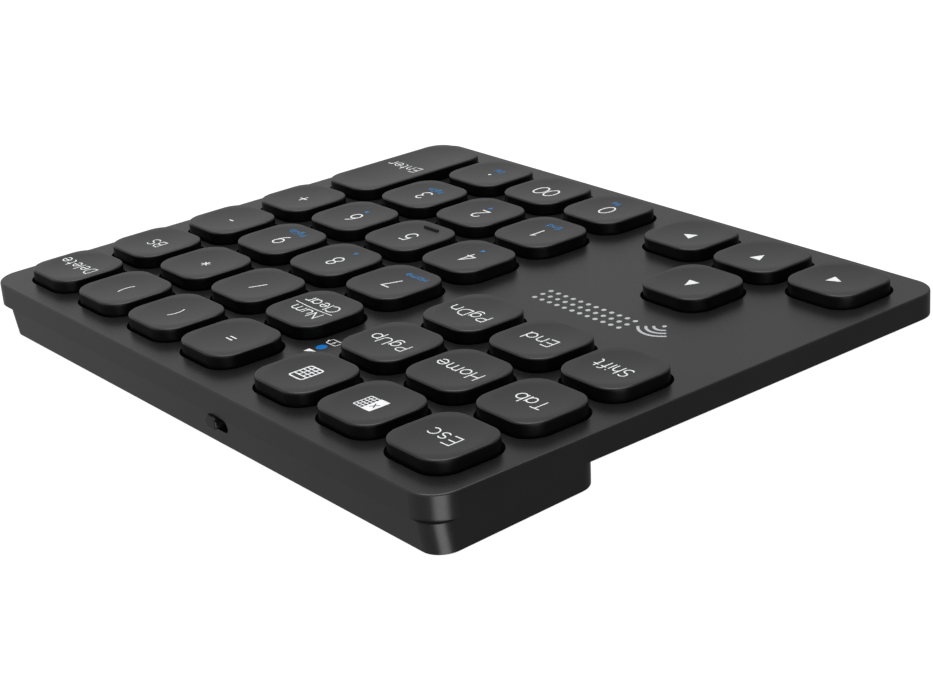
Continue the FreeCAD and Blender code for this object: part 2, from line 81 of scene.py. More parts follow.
CAP_X, CAP_Y, CAP_R, CAP_H = 15.96, 15.16, 4.54, 2.45             # outline at the top
SKIRT_X, SKIRT_Y, SKIRT_R, SKIRT_Z = 16.02, 15.22, 4.57, -0.30    # outline at the foot
CAP_EDGE = 0.34                               # rounding of the top edge
CAP_ROOF = CAP_H - 1.0                        # underside of the top
DISH_DEPTH, DISH_R, DISH_SOFTNESS = 0.24, 7.05, 0.012
ENTER_STRETCH = 33.30 - CAP_Y                 # how much longer the enter key is
# scale of each ring on a key top, from the centre to where the edge rounding starts
TOP_STEPS = [0.001, *np.linspace(0.06, 0.86, 15), 0.90, 0.93, 0.955, 0.975, 0.99, 1.0]

MEMBRANE_TOP = -2.50
FRAME_CENTRE_Z = -0.70                        # where the two scissor frames cross

STROKE_STEP, RECT_STEP = 0.35, 0.7            # longest piece of a printed stroke, rectangle

# (row, keys from column 1 on); "-" leaves a place empty
KEY_ROWS = [
    (1, "esc app_a app_b equals paren_open paren_close delete"),
    (2, "tab home page_up num_clear divide multiply backspace"),
    (3, "shift end page_down 7 8 9 minus"),
    (4, "- - - 4 5 6 plus"),
    (5, "- arrow_up - 1 2 3"),
    (6, "arrow_left arrow_down arrow_right 0 00 decimal"),
    (5.5, "- - - - - - enter"),
]


def to_row(points):
    """Deck mm to row metres, for an (n, 3) array."""
    return (np.reshape(points, (-1, 3)) @ DECK_TO_ROW.T + ORIGIN) / 1000.0


def column_x(column):
    return PITCH_X * (column - 1) + (COLUMN_GAP if column > 3 else 0.0)


def row_y(row):
    return -PITCH_Y * (row - 1)


# ------------------------------------------------------------------ mesh tools
class Build:
    """Collects vertices and faces in deck mm, with a material slot per face."""

    def __init__(self):
        self.vertices, self.faces, self.slots = [], [], []
        self.count = 0

    def add(self, vertices, faces, slots):
        self.vertices.append(np.asarray(vertices, float))
        self.faces += [tuple(i + self.count for i in face) for face in faces]
        self.slots += slots
        self.count += len(vertices)

    def rings(self, rings, slots, capped=False):
        """Skins equal-length closed loops; slots is one slot, or one for each ring."""
        if isinstance(slots, int):
            slots = [slots] * len(rings)
        size = len(rings[0])
        faces, face_slots = [], []
        for j in range(len(rings) - 1):
            for i in range(size):
                a, b = j * size + i, j * size + (i + 1) % size
                faces.append((a, b, b + size, a + size))
                face_slots.append(slots[j])
        if capped:
            last = (len(rings) - 1) * size
            faces += [tuple(reversed(range(size))), tuple(range(last, last + size))]
            face_slots += [slots[0], slots[-1]]
        self.add(np.concatenate(rings), faces, face_slots)

    def box(self, x_range, y_range, z_range, slot):
        (x0, x1), (y0, y1) = x_range, y_range
        outline = np.array([(x0, y0), (x1, y0), (x1, y1), (x0, y1)])
        self.rings([loop_at(outline, 0, 0, z) for z in z_range], slot, capped=True)

    def object(self, name, materials, smooth_angle):
        """Links the mesh as an object; a smooth_angle of None leaves it flat shaded."""
        mesh = bpy.data.meshes.new(name)
        points = to_row(np.concatenate(self.vertices))
        mesh.from_pydata([tuple(p) for p in points], [], self.faces)
        mesh.polygons.foreach_set("material_index", self.slots)
        for material in materials:
            mesh.materials.append(material)
        mesh.validate()
        mesh.update()
        made = bpy.data.objects.new(name, mesh)
        bpy.context.scene.collection.objects.link(made)
        if smooth_angle is not None:
            mesh.polygons.foreach_set("use_smooth", [True] * len(mesh.polygons))
            mesh.set_sharp_from_angle(angle=math.radians(smooth_angle))
        return made


def rounded_rect(width, length, radius, corner_segs, x_segs, y_segs):
    """Rounded rectangle about the origin, counter-clockwise from its front right corner."""
    x, y = width / 2 - radius, length / 2 - radius
    corners = [(x, -y, -90), (x, y, 0), (-x, y, 90), (-x, -y, 180)]   # centre, first angle
    points = []
    for i, (cx, cy, start) in enumerate(corners):
        for j in range(corner_segs + 1):
            t = math.radians(start + 90.0 * j / corner_segs)
            points.append((cx + radius * math.cos(t), cy + radius * math.sin(t)))
        next_x, next_y, next_start = corners[(i + 1) % 4]
        t = math.radians(next_start)
        end = (next_x + radius * math.cos(t), next_y + radius * math.sin(t))
        begin = points[-1]
        segs = y_segs if i % 2 == 0 else x_segs
        for j in range(1, segs):
            points.append((begin[0] + (end[0] - begin[0]) * j / segs,
                           begin[1] + (end[1] - begin[1]) * j / segs))
    return np.array(points)


def loop_at(loop, cx, cy, z):
    return np.c_[loop[:, 0] + cx, loop[:, 1] + cy, np.full(len(loop), z)]


def turn(count):
    """Evenly spaced angles over one turn."""
    return np.linspace(0, 2 * math.pi, count + 1)[:-1]


def disc(cx, cy, radius):
    return [(cx + radius * math.cos(t), cy + radius * math.sin(t)) for t in turn(16)]


def arc(cx, cy, rx, ry, start, end):
    """Points on an elliptical arc, angles in degrees."""
    count = max(3, int(abs(end - start) / 12))
    angles = [math.radians(start + (end - start) * i / count) for i in range(count + 1)]
    return [(cx + rx * math.cos(t), cy + ry * math.sin(t)) for t in angles]


def moved(points, cx, cy):
    return [(cx + x, cy + y) for x, y in points]


def dish_z(x, y, stretch):
    """Height of a key top at (x, y) from the key's centre."""
    reach = np.hypot(x, np.maximum(np.abs(y) - stretch / 2, 0.0))
    depth = DISH_DEPTH * (1 - (reach / DISH_R) ** 2)
    # a smooth maximum of depth and 0 softens the rim
    soft_depth = (depth + np.sqrt(depth * depth + DISH_SOFTNESS ** 2)) / 2
    return CAP_H - soft_depth + DISH_SOFTNESS / 4


# ------------------------------------------------------------------ shader tools
def plug(tree, node, inputs):
    """Sets a node's inputs: a socket is linked, anything else is a value."""
    for socket, value in inputs.items():
        if isinstance(value, bpy.types.NodeSocket):
            tree.links.new(value, node.inputs[socket])
        else:
            node.inputs[socket].default_value = value


def add_node(tree, kind, inputs=None, **settings):
    node = tree.nodes.new("ShaderNode" + kind)
    for setting, value in settings.items():
        setattr(node, setting, value)
    plug(tree, node, inputs or {})
    return node


def new_material(name):
    """Returns the material, its tree, its Principled node and its object coordinates."""
    material = bpy.data.materials.new(name)
    material.use_nodes = True
    tree = material.node_tree
    tree.nodes.clear()
    output = add_node(tree, "OutputMaterial")
    surface = add_node(tree, "BsdfPrincipled")
    plug(tree, output, {"Surface": surface.outputs["BSDF"]})
    return material, tree, surface, add_node(tree, "TexCoord").outputs["Object"]


def noise(tree, vector, scale, detail=3.0, roughness=0.55):
    node = add_node(tree, "TexNoise", {"Scale": scale, "Detail": detail,
                                       "Roughness": roughness, "Vector": vector})
    return node.outputs["Fac"]


def map_range(tree, value, to=(0.0, 1.0), source=(0.3, 0.7), **settings):
    node = add_node(tree, "MapRange", {
        "From Min": source[0], "From Max": source[1],
        "To Min": to[0], "To Max": to[1], "Value": value}, **settings)
    return node.outputs["Result"]


def two_tone(tree, factor, dark, light):
    # sockets of the colour mix: 0 factor, 6 and 7 the two colours, output 2 the result
    node = add_node(tree, "Mix", {0: factor, 6: (*dark, 1), 7: (*light, 1)}, data_type="RGBA")
    return node.outputs[2]


def bump_normal(tree, height, strength, distance):
    node = add_node(tree, "Bump", {"Strength": strength, "Distance": distance,
                                   "Height": height})
    return node.outputs["Normal"]


# ------------------------------------------------------------------ materials
def plastic(name, dark, light, roughness, grain=2600.0, bump=0.02, distance=0.00002,
            specular=0.5):
    """Moulded plastic: fine grain, with a faint cloudy tone."""
    material, tree, surface, coords = new_material(name)
    cloud = noise(tree, coords, scale=60.0, detail=4.0)
    fine = noise(tree, coords, scale=grain, detail=2.0, roughness=0.6)
    tone = map_range(tree, cloud, source=(0.35, 0.65))
    plug(tree, surface, {
        "Base Color": two_tone(tree, tone, dark, light),
        "Roughness": map_range(tree, fine, to=roughness),
        "Specular IOR Level": specular,
        "Normal": bump_normal(tree, fine, bump, distance)})
    return material


def metal(name, dark, light, roughness, stretch=(1, 12, 1), scale=300.0):
    """Metal whose noise is stretched along the axes by `stretch`."""
    material, tree, surface, coords = new_material(name)
    mapping = add_node(tree, "Mapping", {"Scale": stretch, "Vector": coords})
    streaks = noise(tree, mapping.outputs["Vector"], scale, detail=4, roughness=0.5)
    plug(tree, surface, {
        "Base Color": two_tone(tree, map_range(tree, streaks), dark, light),
        "Roughness": map_range(tree, streaks, to=roughness),
        "Metallic": 1.0,
        "Normal": bump_normal(tree, streaks, strength=0.1, distance=0.00003)})
    return material


def solder_mask():
    """Green board finish with a raised brick pattern."""
    material, tree, surface, coords = new_material("solder_mask")
    bricks = add_node(tree, "TexBrick", {
        "Scale": 220.0, "Mortar Size": 0.03, "Color1": (0.012, 0.10, 0.045, 1),
        "Color2": (0.014, 0.12, 0.055, 1), "Mortar": (0.03, 0.22, 0.10, 1),
        "Vector": coords})
    patches = noise(tree, coords, scale=900.0)
    plug(tree, surface, {
        "Base Color": bricks.outputs["Color"],
        "Roughness": map_range(tree, patches, to=(0.22, 0.35)),
        "Normal": bump_normal(tree, bricks.outputs["Fac"], strength=0.2, distance=0.00003)})
    return material


def membrane(name, dark, light):
    """Glossy sheet with wavy lines."""
    material, tree, surface, coords = new_material(name)
    waves = add_node(tree, "TexWave", {"Scale": 260.0, "Distortion": 1.5, "Vector": coords})
    lines = map_range(tree, waves.outputs["Fac"], source=(0.7, 0.8))
    colour = two_tone(tree, lines, dark, light)
    patches = noise(tree, coords, scale=400.0)
    plug(tree, surface, {
        "Base Color": colour,
        "Roughness": map_range(tree, patches, to=(0.15, 0.3)),
        "Normal": bump_normal(tree, patches, strength=0.1, distance=0.00002)})
    return material


def status_window():
    """Blue window that glows."""
    material, tree, surface, coords = new_material("status_window")
    grain = noise(tree, coords, scale=1800.0)
    plug(tree, surface, {
        "Base Color": two_tone(tree, map_range(tree, grain),
                               dark=(0.001, 0.075, 0.22), light=(0.002, 0.09, 0.26)),
        "Roughness": map_range(tree, grain, to=(0.28, 0.4)),
        "Emission Color": two_tone(tree, map_range(tree, grain),
                                   dark=(0.001, 0.13, 0.42), light=(0.002, 0.15, 0.47)),
        "Emission Strength": 0.60,
        "Specular IOR Level": 0.15,
        "Normal": bump_normal(tree, grain, strength=0.1, distance=0.00002)})
    return material


CASE = plastic("case_black", dark=(0.0060, 0.0060, 0.0061), light=(0.0080, 0.0080, 0.0081),
               roughness=(0.27, 0.33), bump=0.04)
CAP_TOP = plastic("keycap_top", dark=(0.0052, 0.0052, 0.0053), light=(0.0066, 0.0066, 0.0067),
                  roughness=(0.28, 0.34), bump=0.03, specular=0.45)
# keycap sides: the same black plastic as the tops, painted darker as shade
CAP_SKIRT_PAINTED_SHADE = plastic("keycap_skirt_painted_shade", dark=(0.0022, 0.0022, 0.0023),
                    light=(0.0032, 0.0032, 0.0033), roughness=(0.30, 0.38), specular=0.14)
WHITE = plastic("legend_white", dark=(0.80, 0.81, 0.82), light=(0.86, 0.87, 0.88),
                roughness=(0.4, 0.55), grain=4000.0)
BLUE = plastic("legend_blue", dark=(0.008, 0.140, 0.36), light=(0.010, 0.160, 0.40),
               roughness=(0.4, 0.55), grain=4000.0)
MARK = plastic("deck_mark", dark=(0.42, 0.43, 0.44), light=(0.50, 0.51, 0.52),
               roughness=(0.4, 0.55), grain=4000.0)
# switch knob: black plastic, painted darker than the case as the shade of its slot
KNOB_PAINTED_SHADE = plastic("knob_black_painted_shade", dark=(0.003, 0.003, 0.003), light=(0.005, 0.005, 0.005),
               roughness=(0.22, 0.30), bump=0.03, specular=0.35)
RUBBER = plastic("foot_rubber", dark=(0.012, 0.012, 0.012), light=(0.018, 0.018, 0.018),
                 roughness=(0.7, 0.85), grain=1500.0, bump=0.15, distance=0.00005,
                 specular=0.3)
DOME = plastic("dome_silicone", dark=(0.030, 0.030, 0.031), light=(0.042, 0.042, 0.043),
               roughness=(0.45, 0.6), bump=0.05)
ACETAL = plastic("acetal_black", dark=(0.010, 0.010, 0.010), light=(0.014, 0.014, 0.014),
                 roughness=(0.32, 0.42))
NYLON = plastic("nylon_natural", dark=(0.62, 0.60, 0.54), light=(0.72, 0.70, 0.64),
                roughness=(0.4, 0.55), bump=0.05)
EPOXY = plastic("chip_epoxy", dark=(0.012, 0.012, 0.013), light=(0.02, 0.02, 0.021),
                roughness=(0.5, 0.7), grain=5000.0, bump=0.1)
LEAD = plastic("lead_sleeve", dark=(0.36, 0.02, 0.015), light=(0.46, 0.03, 0.02),
               roughness=(0.4, 0.5))
# support plate painted near black as the shade under the keys
PLATE_PAINTED_SHADE = metal("plate_painted_shade", dark=(0.020, 0.020, 0.021), light=(0.030, 0.030, 0.031),
              roughness=(0.5, 0.65))
WIRE = metal("spring_wire", dark=(0.55, 0.55, 0.56), light=(0.68, 0.68, 0.69),
             roughness=(0.18, 0.3), stretch=(12, 1, 12), scale=500.0)
SHELL = metal("stamped_shell", dark=(0.58, 0.58, 0.58), light=(0.70, 0.70, 0.70),
              roughness=(0.2, 0.32))
SCREW = metal("black_zinc", dark=(0.09, 0.09, 0.095), light=(0.15, 0.15, 0.155),
              roughness=(0.3, 0.45), stretch=(4, 4, 1), scale=900.0)
FOIL = metal("pouch_foil", dark=(0.62, 0.63, 0.65), light=(0.74, 0.75, 0.77),
             roughness=(0.3, 0.5), stretch=(3, 3, 3), scale=200.0)
BOARD = solder_mask()
# top and spacer membranes painted near black as the shade under the keys
SHEET_PAINTED_SHADE = membrane("membrane_painted_shade", dark=(0.012, 0.012, 0.013), light=(0.018, 0.018, 0.019))
TRACKS = membrane("membrane_tracks", dark=(0.14, 0.15, 0.16), light=(0.30, 0.31, 0.33))
GLOW = status_window()

PART_MATERIALS = {
    "top_case": CASE, "bottom_case": CASE, "support_plate": PLATE_PAINTED_SHADE,
    "membrane_top_sheet": SHEET_PAINTED_SHADE, "membrane_spacer_sheet": SHEET_PAINTED_SHADE,
    "membrane_bottom_sheet": TRACKS, "enter_stabiliser_wire": WIRE,
    "controller_board": BOARD, "controller_chip": EPOXY,
    "membrane_tail_connector": NYLON, "battery_cell": FOIL, "battery_lead": LEAD,
    "charge_port": SHELL, "power_switch_body": SHELL, "power_switch_knob": KNOB_PAINTED_SHADE,
    "status_led": NYLON, "led_light_pipe": GLOW, "case_screws": SCREW,
    "board_screws": SCREW, "front_feet": RUBBER, "rear_feet": RUBBER,
}
for part_name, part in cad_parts.items():
    if part_name in PART_MATERIALS:
        part.data.materials.clear()
        part.data.materials.append(PART_MATERIALS[part_name])
        part.data.polygons.foreach_set("material_index", [0] * len(part.data.polygons))

# ------------------------------------------------------------------ stroke lettering
BOWL = arc(0.27, 0.34, 0.27, 0.34, 0, 360)
SHOULDER = arc(0.24, 0.42, 0.24, 0.26, 180, 0) + [(0.48, 0)]
# A single-stroke alphabet of cap height 1: each glyph is (width, centre lines)
GLYPHS = {
    "E": (0.52, [[(0.52, 1), (0, 1), (0, 0), (0.52, 0)], [(0, 0.52), (0.46, 0.52)]]),
    "s": (0.42, [arc(0.21, 0.515, 0.19, 0.165, 35, 270)[:-1]
                 + arc(0.21, 0.175, 0.21, 0.175, 90, -145)]),
    "c": (0.46, [arc(0.28, 0.34, 0.28, 0.34, 52, 308)]),
    "T": (0.60, [[(0, 1), (0.6, 1)], [(0.3, 1), (0.3, 0)]]),
    "a": (0.54, [BOWL, [(0.54, 0.68), (0.54, 0)]]),
    "b": (0.54, [BOWL, [(0, 1), (0, 0)]]),
    "d": (0.54, [BOWL, [(0.54, 1), (0.54, 0)]]),
    "H": (0.62, [[(0, 0), (0, 1)], [(0.62, 0), (0.62, 1)], [(0, 0.52), (0.62, 0.52)]]),
    "o": (0.56, [arc(0.28, 0.34, 0.28, 0.34, 0, 360)]),
    "m": (0.80, [[(0, 0), (0, 0.68)], arc(0.2, 0.46, 0.2, 0.22, 180, 0) + [(0.4, 0)],
                 arc(0.6, 0.46, 0.2, 0.22, 180, 0) + [(0.8, 0)]]),
    "e": (0.54, [[(0.01, 0.36), (0.54, 0.36)] + arc(0.27, 0.34, 0.27, 0.34, 3, 318)]),
    "P": (0.56, [[(0, 0), (0, 1), (0.3, 1)] + arc(0.3, 0.735, 0.265, 0.265, 90, -90)[1:]
                 + [(0, 0.47)]]),
    "g": (0.54, [BOWL, [(0.54, 0.68), (0.54, -0.08)]
                 + arc(0.28, -0.08, 0.26, 0.2, 0, -150)[1:]]),
    "U": (0.60, [[(0, 1), (0, 0.3)] + arc(0.3, 0.3, 0.3, 0.3, 180, 360)[1:] + [(0.6, 1)]]),
    "p": (0.54, [BOWL, [(0, 0.68), (0, -0.28)]]),
    "D": (0.64, [[(0, 0), (0, 1), (0.22, 1)] + arc(0.22, 0.5, 0.42, 0.5, 90, -90)[1:]
                 + [(0, 0)]]),
    "n": (0.48, [[(0, 0), (0, 0.68)], SHOULDER]),
    "S": (0.54, [arc(0.27, 0.755, 0.245, 0.245, 35, 270)[:-1]
                 + arc(0.27, 0.255, 0.27, 0.255, 90, -145)]),
    "h": (0.48, [[(0, 0), (0, 1)], SHOULDER]),
    "i": (0.0, [[(0, 0), (0, 0.66)], [(0, 0.9), (0, 0.93)]]),
    "f": (0.34, [arc(0.31, 0.8, 0.19, 0.2, 75, 180) + [(0.12, 0)], [(0, 0.66), (0.32, 0.66)]]),
    "t": (0.34, [[(0.12, 0.92), (0.12, 0.16)] + arc(0.28, 0.16, 0.16, 0.16, 180, 285)[1:],
                 [(0, 0.66), (0.33, 0.66)]]),
    "N": (0.62, [[(0, 0), (0, 1), (0.62, 0), (0.62, 1)]]),
    "u": (0.48, [[(0, 0.68), (0, 0.26)] + arc(0.24, 0.26, 0.24, 0.26, 180, 360)[1:]
                 + [(0.48, 0.68)], [(0.48, 0.26), (0.48, 0)]]),
    "C": (0.68, [arc(0.44, 0.5, 0.44, 0.5, 50, 310)]),
    "l": (0.0, [[(0, 0), (0, 1)]]),
    "r": (0.32, [[(0, 0), (0, 0.68)], arc(0.24, 0.42, 0.24, 0.26, 180, 72)]),
    "B": (0.54, [[(0, 0), (0, 1), (0.27, 1)] + arc(0.27, 0.765, 0.22, 0.235, 90, -90)[1:]
                 + [(0, 0.53)],
                 [(0.27, 0.53)] + arc(0.27, 0.265, 0.27, 0.265, 90, -90)[1:] + [(0, 0)]]),
    "I": (0.0, [[(0, 0), (0, 1)]]),
    "0": (0.62, [arc(0.31, 0.5, 0.31, 0.5, 0, 360)]),
    "1": (0.24, [[(0, 0.80), (0.24, 1), (0.24, 0)]]),
    "2": (0.60, [arc(0.29, 0.71, 0.29, 0.29, 165, -35) + [(0, 0), (0.6, 0)]]),
    "3": (0.58, [arc(0.27, 0.76, 0.24, 0.24, 150, -90), arc(0.27, 0.26, 0.30, 0.26, 90, -150)]),
    "4": (0.62, [[(0.46, 0), (0.46, 1), (0, 0.28), (0.62, 0.28)]]),
    "5": (0.58, [[(0.52, 1), (0.12, 1), (0.07, 0.56)]
                 + arc(0.27, 0.33, 0.30, 0.33, 128, -150)]),
    "6": (0.62, [arc(0.31, 0.32, 0.31, 0.32, 0, 360), arc(0.82, 0.36, 0.81, 0.80, 175, 122)]),
    "7": (0.60, [[(0, 1), (0.6, 1), (0.2, 0)]]),
    "8": (0.60, [arc(0.30, 0.76, 0.23, 0.24, 0, 360), arc(0.30, 0.26, 0.30, 0.26, 0, 360)]),
    "9": (0.62, [arc(0.31, 0.68, 0.31, 0.32, 0, 360), arc(-0.20, 0.64, 0.81, 0.80, -5, -58)]),
}


def resample(path, step):
    """Splits a path into pieces no longer than step and drops repeated points."""
    points = [path[0]]
    for p, q in zip(path, path[1:]):
        count = max(1, int(math.ceil(math.hypot(q[0] - p[0], q[1] - p[1]) / step)))
        for i in range(1, count + 1):
            x = p[0] + (q[0] - p[0]) * i / count
            y = p[1] + (q[1] - p[1]) * i / count
            if math.hypot(x - points[-1][0], y - points[-1][1]) > 1e-5:
                points.append((x, y))
    return points


class Print:
    """Thin printed marks laid on a surface z(x, y), each one a closed film."""

    def __init__(self, build, surface, film=0.02, sink=0.03):
        self.build, self.surface = build, surface
        self.film, self.sink = film, sink          # reach above and below the surface

    def lay(self, points, faces, slot):
        """Lays a flat mesh on the surface and gives it thickness."""
        points = np.asarray(points, float)
        z = self.surface(points[:, 0], points[:, 1])
        count = len(points)
        film_faces, edges = [], {}
        for face in faces:
            film_faces.append(tuple(face))
            film_faces.append(tuple(i + count for i in reversed(face)))
            edges.update(dict.fromkeys(zip(face, list(face[1:]) + [face[0]])))
        for a, b in edges:
            if (b, a) not in edges:                # a boundary edge gets a side wall
                film_faces.append((a, a + count, b + count, b))
        vertices = np.concatenate([np.c_[points, z + self.film], np.c_[points, z - self.sink]])
        self.build.add(vertices, film_faces, [slot] * len(film_faces))

    def stroke(self, path, width, slot):
        """A line of constant width, mitred at its bends, with round ends if it is open."""
        line = resample(path, STROKE_STEP)
        closed = len(line) > 4 and math.hypot(line[0][0] - line[-1][0],
                                              line[0][1] - line[-1][1]) < 1e-3
        if closed:
            line.pop()
        count, half = len(line), width / 2
        left, right = [], []
        for i, here in enumerate(line):
            if closed:
                before, after = line[i - 1], line[(i + 1) % count]
            else:
                before, after = line[max(i - 1, 0)], line[min(i + 1, count - 1)]
            into, onward = np.subtract(here, before), np.subtract(after, here)
            into_length, onward_length = np.hypot(*into), np.hypot(*onward)
            # an open end has only one direction
            if into_length < 1e-9:
                into, into_length = onward, onward_length
            if onward_length < 1e-9:
                onward, onward_length = into, into_length
            into, onward = into / into_length, onward / onward_length
            side = np.array([-into[1], into[0]])
            mitre = side + np.array([-onward[1], onward[0]])
            mitre_length = np.hypot(*mitre)
            # a path that doubles straight back has no mitre
            mitre = mitre / mitre_length if mitre_length > 1e-6 else side
            reach = half / max(float(mitre @ side), 0.5)
            left.append((here[0] + mitre[0] * reach, here[1] + mitre[1] * reach))
            right.append((here[0] - mitre[0] * reach, here[1] - mitre[1] * reach))
        points = right + left
        faces = []
        for i in range(count if closed else count - 1):
            j = (i + 1) % count
            faces.append((i, j, count + j, count + i))
        if not closed:
            end_segs = 5
            for tip, i, sign in ((line[0], 0, 1), (line[-1], count - 1, -1)):
                start = math.atan2(points[i][1] - tip[1], points[i][0] - tip[0])
                fan = [i]
                for j in range(1, end_segs):
                    t = start - sign * math.pi * j / end_segs
                    fan.append(len(points))
                    points.append((tip[0] + half * math.cos(t), tip[1] + half * math.sin(t)))
                fan.append(count + i)
                faces.append(tuple(fan if sign < 0 else reversed(fan)))
        self.lay(points, faces, slot)

    def solid(self, outline, slot):
        """A filled convex outline."""
        self.lay(outline, [tuple(range(len(outline)))], slot)

    def rect(self, x0, x1, y0, y1, slot):
        """A filled rectangle, gridded so that it follows the surface."""
        nx = max(1, int(math.ceil((x1 - x0) / RECT_STEP)))
        ny = max(1, int(math.ceil((y1 - y0) / RECT_STEP)))
        points = [(x0 + (x1 - x0) * i / nx, y0 + (y1 - y0) * j / ny)
                  for j in range(ny + 1) for i in range(nx + 1)]
        starts = [j * (nx + 1) + i for j in range(ny) for i in range(nx)]
        self.lay(points, [(a, a + 1, a + nx + 2, a + nx + 1) for a in starts], slot)

    def outline(self, cx, cy, size, radius, side_segs, width, slot):
        """A rounded rectangle drawn as a closed stroke."""
        loop = rounded_rect(*size, radius, corner_segs=4, x_segs=side_segs, y_segs=side_segs)
        path = moved(loop, cx, cy)
        self.stroke(path + path[:1], width, slot)

    def text(self, text, cx, cy, height, width, gap, stroke, slot):
        """Centred text; height runs between centre lines, width includes the stroke."""
        pens, pen = [], 0.0
        for letter in text:
            letter_width, paths = GLYPHS[letter]
            pens.append((pen, paths))
            pen += letter_width + gap
        total = pen - gap
        scale_x = (width - stroke) / total
        base = cy - height / 2
        for pen, paths in pens:
            for path in paths:
                self.stroke([(cx + (pen + x - total / 2) * scale_x, base + y * height)
                             for x, y in path], stroke, slot)


# ------------------------------------------------------------------ keycaps
# the second slot holds the keycap sides, painted darker than the top as shade
TOP_SLOT, SKIRT_PAINTED_SHADE_SLOT = 0, 1                   # material slots of a keycap


def keycap(name, cx, cy, stretch):
    build = Build()
    y_segs = 18 if stretch else 6

    def outline(width, length, radius):
        return rounded_rect(width, length + stretch, radius, 14, 6, y_segs)

    def section(width, length, radius, z):
        return loop_at(outline(width, length, radius), cx, cy, z)

    # dished top: rings shrink onto the middle line, so a long key's dish stays round-ended
    top = outline(CAP_X - 2 * CAP_EDGE, CAP_Y - 2 * CAP_EDGE, CAP_R - CAP_EDGE)
    core = np.c_[np.zeros(len(top)), np.clip(top[:, 1], -stretch / 2, stretch / 2)]
    rings = []
    for step in TOP_STEPS:
        x, y = (core + (top - core) * step).T
        rings.append(np.c_[x + cx, y + cy, dish_z(x, y, stretch)])

    # rounded edge, from a point well outside the dish
    rim_z = float(dish_z(8.5, 8.5 + stretch / 2, stretch))
    for i in range(1, 6):
        t = math.radians(90 - 18 * i)
        inset = CAP_EDGE * (1 - math.cos(t))
        z = rim_z - CAP_EDGE + CAP_EDGE * math.sin(t)
        drop = (CAP_H - z) / (CAP_H - SKIRT_Z)
        rings.append(section(CAP_X + (SKIRT_X - CAP_X) * drop * 0.9 - 2 * inset,
                             CAP_Y + (SKIRT_Y - CAP_Y) * drop * 0.9 - 2 * inset,
                             CAP_R - inset * 0.8, z))

    # side wall, foot, and the hollow underneath
    for drop in (0.25, 0.5, 0.75, 0.96):
        rings.append(section(CAP_X + (SKIRT_X - CAP_X) * drop,
                             CAP_Y + (SKIRT_Y - CAP_Y) * drop,
                             CAP_R + (SKIRT_R - CAP_R) * drop,
                             CAP_H + (SKIRT_Z - CAP_H) * drop))
    for inset in (0.07, 0.85):
        rings.append(section(SKIRT_X - 2 * inset, SKIRT_Y - 2 * inset, SKIRT_R - inset, SKIRT_Z))
    rings.append(section(CAP_X - 1.8, CAP_Y - 1.8, CAP_R - 0.9, CAP_H - 1.25))
    rings.append(section(CAP_X - 2.3, CAP_Y - 2.3, CAP_R - 1.1, CAP_ROOF))

    # the first three edge bands share the top's material, the rest take the sides' material with
    # its painted shade; reversed loops face outwards
    top_count = len(TOP_STEPS) + 3
    slots = [TOP_SLOT] * top_count + [SKIRT_PAINTED_SHADE_SLOT] * (len(rings) - top_count)
    build.rings([ring[::-1] for ring in rings], slots, capped=True)

    # four tabs under the roof
    for x in (cx - 2.6, cx + 2.6):
        for y in (cy - 5.35, cy + 5.35):
            build.box((x - 0.8, x + 0.8), (y - 0.3, y + 0.3),
                      (CAP_ROOF - 0.95, CAP_ROOF + 0.05), SKIRT_PAINTED_SHADE_SLOT)
    if name == "enter":
        # two L-shaped hooks inside the right-hand wall
        for y in (cy - 9.0, cy + 9.0):
            for x_end, z_range in ((5.5, (0.02, CAP_ROOF + 0.05)), (6.5, (-0.25, 0.05))):
                build.box((cx + 5.15, cx + x_end), (y - 0.8, y + 0.8), z_range, SKIRT_PAINTED_SHADE_SLOT)
    if name == "5":
        # homing bar, between the figure and the edge nearest the user: (inset, height)
        profile = [(0.0, -0.45), (0.0, 0.12), (0.06, 0.20), (0.16, 0.24), (0.27, 0.25)]
        bar = [loop_at(rounded_rect(4.6 - 2 * inset, 0.70 - 2 * inset, 0.34 - inset, 6, 3, 1),
                       cx - 0.45, cy - 5.1, CAP_H + height) for inset, height in profile]
        # the bar takes the sides' darker material, with its painted shade
        build.rings(bar, SKIRT_PAINTED_SHADE_SLOT, capped=True)
    return build


# ------------------------------------------------------------------ legends
WHITE_SLOT, BLUE_SLOT, BLACK_SLOT = 0, 1, 2   # material slots of a legend
WORD, SMALL, FIGURE = (0.25, WHITE_SLOT), (0.225, BLUE_SLOT), (0.325, WHITE_SLOT)

